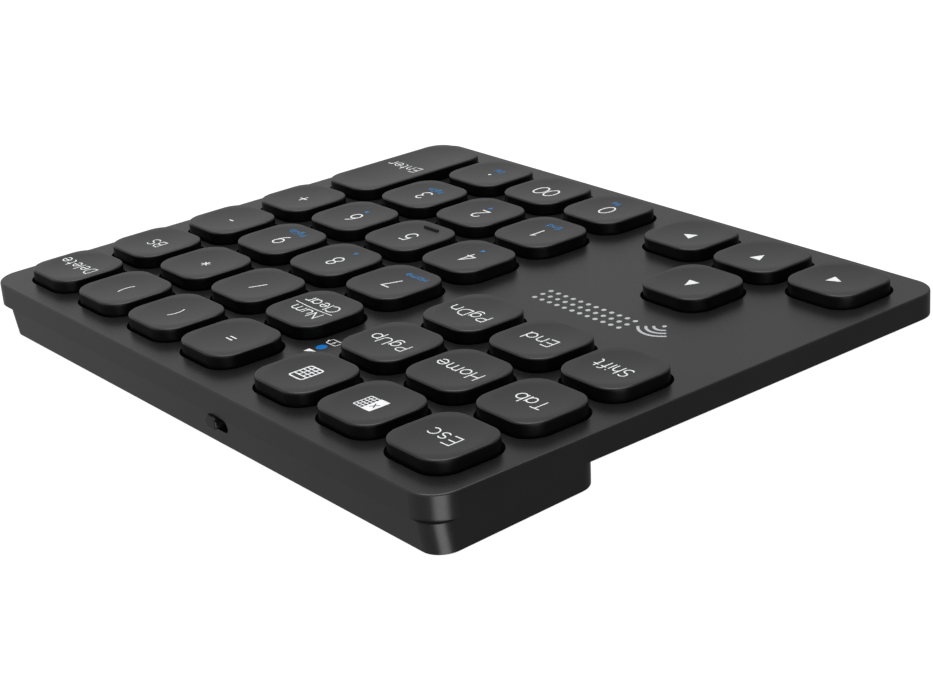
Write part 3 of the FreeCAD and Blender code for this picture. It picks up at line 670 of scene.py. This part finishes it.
# key, text, (stroke width, slot), x and y from the key's centre, height, width, letter gap
LABELS = [
    ("esc", "Esc", WORD, 0.0, 0.15, 3.0, 7.1, 0.22),
    ("tab", "Tab", WORD, 0.1, 0.2, 2.85, 7.5, 0.22),
    ("home", "Home", WORD, 0.25, 0.05, 2.75, 11.4, 0.22),
    ("page_up", "PgUp", WORD, 0.15, 0.525, 2.65, 10.2, 0.22),
    ("page_down", "PgDn", WORD, 0.15, 0.725, 2.65, 10.4, 0.22),
    ("end", "End", WORD, 0.05, 0.28, 2.8, 7.4, 0.22),
    ("shift", "Shift", WORD, 0.2, 0.4, 2.9, 8.5, 0.22),
    ("delete", "Delete", WORD, 0.05, 0.0, 2.7, 11.9, 0.26),
    ("backspace", "BS", WORD, -0.5, 0.25, 2.8, 4.2, 0.22),
    ("enter", "Enter", WORD, 0.3, 0.0, 2.75, 10.4, 0.22),
    ("num_clear", "Num", WORD, 0.2, 1.95, 2.5, 8.4, 0.22),
    ("num_clear", "Clear", WORD, 0.45, -2.05, 2.5, 9.9, 0.22),
    ("0", "0", FIGURE, -0.28, 0.6, 3.85, 2.95, 0.25),
    ("00", "00", FIGURE, -0.3, 0.6, 3.85, 6.2, 0.12),
    ("1", "1", FIGURE, -0.15, 0.6, 3.5, 0.95, 0.22),
    *((digit, digit, FIGURE, -0.33, 0.45, 3.75, 2.55, 0.25) for digit in "23456789"),
    ("7", "Home", SMALL, -1.7, -4.15, 1.36, 6.5, 0.26),
    ("9", "PgUp", SMALL, 0.27, -4.0, 1.36, 5.6, 0.26),
    ("1", "End", SMALL, 0.1, -3.7, 1.36, 3.85, 0.26),
    ("3", "PgDn", SMALL, -0.2, -2.95, 1.36, 4.75, 0.26),
    ("0", "Ins", SMALL, 1.2, -3.1, 1.36, 2.05, 0.26),
    ("decimal", "Del", SMALL, -0.43, -2.1, 1.36, 2.7, 0.26),
]


def spoke(degrees):
    """One bar of the multiply star."""
    dx, dy = 0.92 * math.cos(math.radians(degrees)), 0.92 * math.sin(math.radians(degrees))
    return [(-0.42 - dx, 0.17 - dy), (-0.42 + dx, 0.17 + dy)]


# key: (stroke width, centre lines from the key's centre)
SIGNS = {
    "num_clear": (0.19, [[(-5.4, -0.05), (6.0, -0.05)]]),
    "equals": (0.30, [[(-1.25, -0.30), (0.55, -0.30)], [(-1.25, 0.62), (0.55, 0.62)]]),
    "paren_open": (0.25, [arc(2.98, 0.12, 3.6, 3.6, 150, 210)]),
    "paren_close": (0.25, [arc(-3.72, 0.12, 3.6, 3.6, -30, 30)]),
    "divide": (0.30, [[(-1.05, -1.3), (0.3, 1.8)]]),
    "multiply": (0.26, [spoke(90), spoke(30), spoke(150)]),
    "minus": (0.32, [[(-1.0, 0.3), (0.2, 0.3)]]),
    "plus": (0.30, [[(-1.6, 0.33), (0.5, 0.33)], [(-0.55, -0.75), (-0.55, 1.4)]]),
}

# corners of each arrowhead, in half sizes
ARROWHEADS = {
    "up": [(-1, -1), (1, -1), (0, 1)],
    "down": [(-1, 1), (0, -1), (1, 1)],
    "left": [(-1, 0), (1, -1), (1, 1)],
    "right": [(1, 0), (-1, 1), (-1, -1)],
}
# key: (direction, x and y from the key's centre, size, slot)
ARROWS = {
    **{"arrow_" + way: (way, 0.0, 0.75, 2.6, WHITE_SLOT) for way in ARROWHEADS},
    "8": ("up", -0.5, -4.3, 1.15, BLUE_SLOT),
    "4": ("left", -0.1, -3.65, 1.15, BLUE_SLOT),
    "6": ("right", 0.2, -3.15, 1.15, BLUE_SLOT),
    "2": ("down", 0.3, -3.2, 1.15, BLUE_SLOT),
}


def grid_lines(ink, x_range, y_range, columns, rows, half_widths, column_top):
    """Lines between the cells of a grid; half_widths are those of upright and level lines."""
    (x0, x1), (y0, y1) = x_range, y_range
    upright, level = half_widths
    for i in range(1, columns):
        x = x0 + (x1 - x0) * i / columns
        ink.rect(x - upright, x + upright, y0 + 0.1, column_top, WHITE_SLOT)
    for j in range(1, rows):
        y = y0 + (y1 - y0) * j / rows
        ink.rect(x0 + 0.1, x1 - 0.1, y - level, y + level, WHITE_SLOT)


def keypad_symbol(ink, cx, cy):
    """A blank screen over a grid of buttons."""
    x0, x1, y0, y1 = cx - 1.98, cx + 1.82, cy - 2.28, cy + 2.50
    ink.outline(cx - 0.08, cy + 0.11, size=(3.80, 4.78), radius=0.5, side_segs=3,
                width=0.32, slot=WHITE_SLOT)
    screen_y = y1 - 1.38
    ink.rect(x0 + 0.1, x1 - 0.1, screen_y, screen_y + 0.28, WHITE_SLOT)
    grid_lines(ink, (x0, x1), (y0, screen_y), columns=3, rows=4, half_widths=(0.12, 0.11),
               column_top=screen_y + 0.1)


def sheet_symbol(ink, sheet_ink, cross_ink, cx, cy):
    """A grid of buttons behind a sheet with a cross; each ink lies above the one before."""
    x0, x1, y0, y1 = cx - 0.9, cx + 2.35, cy - 1.65, cy + 2.15
    ink.outline(cx + 0.725, cy + 0.25, size=(3.25, 3.80), radius=0.25, side_segs=3,
                width=0.20, slot=WHITE_SLOT)
    grid_lines(ink, (x0, x1), (y0, y1), columns=4, rows=5, half_widths=(0.08, 0.09),
               column_top=y1 - 0.1)
    sheet_ink.rect(cx - 2.45, cx - 0.05, cy - 1.95, cy + 2.35, WHITE_SLOT)
    for sign in (-1, 1):
        cross_ink.stroke([(cx - 1.75, cy + 0.4 - sign * 0.62),
                          (cx - 0.75, cy + 0.4 + sign * 0.62)], 0.22, BLACK_SLOT)


def legend(name, cx, cy, stretch):
    build = Build()

    def ink_at(lift):
        return Print(build, lambda x, y: dish_z(x - cx, y - cy, stretch) + lift)

    ink = ink_at(0.0)
    if name == "decimal":
        ink.solid(disc(cx - 0.35, cy + 0.6, 0.36), WHITE_SLOT)
    for key, text, (stroke, slot), x, y, height, width, gap in LABELS:
        if key == name:
            ink.text(text, cx + x, cy + y, height, width, gap, stroke, slot)
    if name in SIGNS:
        width, paths = SIGNS[name]
        for path in paths:
            ink.stroke(moved(path, cx, cy), width, WHITE_SLOT)
    if name in ARROWS:
        way, x, y, size, slot = ARROWS[name]
        corners = [(size / 2 * i, size / 2 * j) for i, j in ARROWHEADS[way]]
        ink.solid(moved(corners, cx + x, cy + y), slot)
    if name == "app_b":
        keypad_symbol(ink, cx, cy)
    if name == "app_a":
        sheet_symbol(ink, ink_at(0.012), ink_at(0.022), cx, cy)
    return build


# ------------------------------------------------------------------ key mechanisms
# (radius, z): outside of the dome from the top down, then its inside back up
DOME_PROFILE = [
    (0.02, 1.40), (1.2, 1.40), (1.62, 1.36), (1.75, 1.22), (1.75, 0.85), (1.85, 0.55),
    (2.55, -1.55), (2.85, -2.15), (3.05, -2.25), (3.25, -2.27), (3.30, -2.35),
    (3.30, MEMBRANE_TOP), (2.40, MEMBRANE_TOP), (2.25, -2.0), (1.45, 0.35), (1.2, 0.42),
    (0.02, 0.42),
]
DOME_SLOT, FRAME_SLOT = 0, 1                  # material slots of a mechanism


def scissor_frame(build, cx, cy, half_x, lean_degrees):
    """A flat rounded frame with chamfered edges, leaning about the x axis."""
    lean = math.radians(lean_degrees)
    half_y, radius = 4.85, 0.75
    chamfer, width, half = 0.12, 0.8, 0.3     # half is half the frame's thickness
    # (distance in from the outer edge, z) round the bar's section
    profile = [(0, -half + chamfer), (0, half - chamfer), (chamfer, half),
               (width - chamfer, half), (width, half - chamfer), (width, -half + chamfer),
               (width - chamfer, -half), (chamfer, -half)]
    rings = []
    for inset, z in profile:
        loop = rounded_rect(2 * (half_x - inset), 2 * (half_y - inset), radius - inset * 0.6,
                            corner_segs=5, x_segs=3, y_segs=3)
        rings.append(np.c_[loop[:, 0] + cx,
                           loop[:, 1] * math.cos(lean) - z * math.sin(lean) + cy,
                           loop[:, 1] * math.sin(lean) + z * math.cos(lean) + FRAME_CENTRE_Z])
    rings.append(rings[0])
    build.rings(rings, FRAME_SLOT)


def mechanism(cx, cy):
    """Rubber dome between the two crossed frames of a scissor."""
    build = Build()
    t = turn(32)
    build.rings([np.c_[cx + radius * np.cos(t), cy + radius * np.sin(t), np.full(32, z)]
                 for radius, z in reversed(DOME_PROFILE)], DOME_SLOT, capped=True)
    scissor_frame(build, cx, cy, half_x=5.6, lean_degrees=16.5)
    scissor_frame(build, cx, cy, half_x=4.6, lean_degrees=-16.5)
    return build


def add_key(name, column, row):
    node = "key_" + name
    cx, cy = column_x(column), row_y(row)
    stretch = ENTER_STRETCH if name == "enter" else 0.0

    cap = keycap(name, cx, cy, stretch).object("cap_" + name, [CAP_TOP, CAP_SKIRT_PAINTED_SHADE], 50)
    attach(cap, node)
    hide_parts(node)

    print_ = legend(name, cx, cy, stretch).object("legend_" + name, [WHITE, BLUE, CAP_TOP], None)
    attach(print_, node)

    scissor = mechanism(cx, cy).object("mechanism_" + name, [DOME, ACETAL], 40)
    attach(scissor, "case")
    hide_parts("rubber_domes", "scissor_outer_frames", "scissor_inner_frames")
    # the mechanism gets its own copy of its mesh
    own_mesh(scissor)


for key_row, names in KEY_ROWS:
    for key_column, key_name in enumerate(names.split(), start=1):
        if key_name != "-":
            add_key(key_name, key_column, key_row)


# ------------------------------------------------------------------ deck print
def deck_print():
    build = Build()
    ink = Print(build, lambda x, y: np.zeros(np.shape(x)), film=0.015, sink=0.02)
    white, grey = 0, 1

    # a wedge, and in front of it a battery outline with its stub and a zigzag inside
    x, y = 50.45, -14.05
    ink.solid([(x - 1.05, -9.5), (x + 1.05, -9.5), (x + 0.95, -8.1)], white)
    ink.outline(x - 0.2, y, size=(2.9, 1.7), radius=0.3, side_segs=2, width=0.16, slot=white)
    ink.stroke([(x + 1.45, y), (x + 1.46, y)], 0.5, white)
    ink.stroke([(x - 0.05, -13.45), (x - 0.45, -14.1), (x + 0.05, -14.0), (x - 0.35, -14.65)],
               0.14, white)

    # three arcs over a dot, beside a grid of dots
    x, y = 11.3, -58.1
    ink.stroke([(x, y), (x + 0.01, y)], 0.9, grey)
    for radius in (1.9, 3.3, 4.7):
        ink.stroke(arc(x, y, radius, radius, 42, 138), 0.55, grey)
    for i in range(12):
        for j in range(3):
            ink.solid(disc(17.0 + i * 2.1, -56.4 + j * 2.0, 0.5), grey)

    marks = build.object("deck_print", [WHITE, MARK], None)
    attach(marks, "case")


deck_print()

# ------------------------------------------------------------------ stage, light, camera
scene = bpy.context.scene


def add_floor():
    """Backlit sweep: white to the camera, throwing no light back on the object."""
    material, tree, surface, coords = new_material("floor_pale")
    clouds = map_range(tree, noise(tree, coords, scale=3.0))
    plug(tree, surface, {
        "Base Color": two_tone(tree, clouds, dark=(0.10, 0.10, 0.10), light=(0.12, 0.12, 0.12)),
        "Roughness": 0.9,
        "Specular IOR Level": 0.0,
        "Emission Color": (1, 1, 1, 1),
        "Emission Strength": 1.0})
    half, clearance = 6.0, 0.0002             # metres
    mesh = bpy.data.meshes.new("floor")
    mesh.from_pydata([(-half, -half, 0), (half, -half, 0), (half, half, 0), (-half, half, 0)],
                     [], [(0, 1, 2, 3)])
    mesh.materials.append(material)
    floor = bpy.data.objects.new("floor", mesh)
    scene.collection.objects.link(floor)
    floor.location.z = float(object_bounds()[0][2]) - clearance
    floor.visible_diffuse = False
    floor.visible_glossy = False
    floor.visible_shadow = False


# (height of the direction: 0 straight down, 0.5 level, 1 straight up; radiance)
SKY = [(0.0, 0.10), (0.28, 0.29), (0.46, 0.40), (0.54, 0.56), (0.62, 0.60), (0.70, 0.56),
       (0.77, 0.44), (0.86, 0.46), (0.94, 0.80), (1.0, 1.15)]
# bearings are in degrees from +x towards +y
STRIP_BEARING, STRIP_OUTER, STRIP_INNER = 151.0, 30.0, 12.0   # with its half widths
STRIP_RADIANCE = 2.85
STRIP_FADE = (0.45, 0.05)                     # upward part of direction: dark, full
SIDE_BEARING, SIDE_FACTORS = 38.0, (0.45, 1.25)   # brighter side; lowest, highest factor


def along_bearing(tree, vector, degrees):
    """Dot product of a vector with a level direction."""
    t = math.radians(degrees)
    node = add_node(tree, "VectorMath", {0: vector, 1: (math.cos(t), math.sin(t), 0)},
                    operation="DOT_PRODUCT")
    return node.outputs["Value"]


def studio_world():
    """White to the camera; for lighting, a soft overhead dome with a dim lower half."""
    world = bpy.data.worlds.new("studio")
    scene.world = world
    world.use_nodes = True
    tree = world.node_tree
    tree.nodes.clear()
    output = add_node(tree, "OutputWorld")
    direction = add_node(tree, "TexCoord").outputs["Generated"]
    up = add_node(tree, "SeparateXYZ", {"Vector": direction}).outputs["Z"]

    sky = add_node(tree, "ValToRGB")
    stops = sky.color_ramp.elements
    for stop, (height, radiance) in ((stops[0], SKY[0]), (stops[1], SKY[-1])):
        stop.position = height
        stop.color = (radiance, radiance, radiance, 1)
    for height, radiance in SKY[1:-1]:
        stops.new(height).color = (radiance, radiance, radiance, 1)
    plug(tree, sky, {"Fac": map_range(tree, up, source=(-1.0, 1.0))})

    # an upright strip light towards the rear left, fading out with height
    level = add_node(tree, "VectorMath", {0: direction, 1: (1, 1, 0)}, operation="MULTIPLY")
    level = add_node(tree, "VectorMath", {0: level.outputs[0]}, operation="NORMALIZE")
    across = map_range(tree, along_bearing(tree, level.outputs[0], STRIP_BEARING),
                       to=(0.0, STRIP_RADIANCE),
                       source=(math.cos(math.radians(STRIP_OUTER)),
                               math.cos(math.radians(STRIP_INNER))),
                       interpolation_type="SMOOTHSTEP")
    fade = map_range(tree, up, source=STRIP_FADE, interpolation_type="SMOOTHSTEP")
    strip = add_node(tree, "Math", {0: across, 1: fade}, operation="MULTIPLY")

    # the dome is brighter towards the rear right
    side = map_range(tree, along_bearing(tree, direction, SIDE_BEARING),
                     to=SIDE_FACTORS, source=(-1.0, 1.0))
    dome = add_node(tree, "Math", {0: sky.outputs["Color"], 1: side}, operation="MULTIPLY")
    total = add_node(tree, "Math", {0: dome.outputs[0], 1: strip.outputs[0]}, operation="ADD")

    lit = add_node(tree, "Background", {"Color": (1, 1, 1, 1), "Strength": total.outputs[0]})
    white = add_node(tree, "Background", {"Color": (1, 1, 1, 1)})
    to_camera = add_node(tree, "LightPath").outputs["Is Camera Ray"]
    mix = add_node(tree, "MixShader", {0: to_camera, 1: lit.outputs[0], 2: white.outputs[0]})
    plug(tree, output, {"Surface": mix.outputs[0]})


def add_softbox():
    """Square area light overhead, aimed at the row frame's origin."""
    light = bpy.data.lights.new("top_softbox", "AREA")
    light.energy = 7.0
    light.size = 0.9
    softbox = bpy.data.objects.new("top_softbox", light)
    softbox.location = (0.05, -0.10, 0.95)
    softbox.rotation_euler = (-Vector(softbox.location)).to_track_quat("-Z", "Y").to_euler()
    scene.collection.objects.link(softbox)


# camera in the deck frame: mm, and radians; azimuth runs from +y towards +x
CAMERA_PLACE = (-238.5899, 171.5625, 136.4765)
CAMERA_AZIMUTH, CAMERA_ELEVATION, CAMERA_ROLL = -0.9313, 0.3878, -0.0814
SENSOR_WIDTH, FOCAL_LENGTH = 36.0, 79.656756


def add_camera():
    back = np.array([math.sin(CAMERA_AZIMUTH) * math.cos(CAMERA_ELEVATION),
                     math.cos(CAMERA_AZIMUTH) * math.cos(CAMERA_ELEVATION),
                     math.sin(CAMERA_ELEVATION)])
    level = np.cross([0, 0, 1], back)
    level /= np.linalg.norm(level)
    upright = np.cross(back, level)
    cos_roll, sin_roll = math.cos(CAMERA_ROLL), math.sin(CAMERA_ROLL)
    axes = np.column_stack([cos_roll * level + sin_roll * upright,
                            -sin_roll * level + cos_roll * upright, back])
    matrix = np.eye(4)
    matrix[:3, :3] = DECK_TO_ROW @ axes
    matrix[:3, 3] = to_row(CAMERA_PLACE)[0]

    lens = bpy.data.cameras.new("camera")
    lens.sensor_fit = "HORIZONTAL"
    lens.sensor_width = SENSOR_WIDTH
    lens.lens = FOCAL_LENGTH
    lens.clip_start = 0.01
    camera = bpy.data.objects.new("camera", lens)
    scene.collection.objects.link(camera)
    camera.matrix_world = Matrix(matrix.tolist())
    scene.camera = camera


add_floor()
studio_world()
add_softbox()
scene.view_settings.view_transform = "Standard"
add_camera()

bpy.context.view_layer.update()
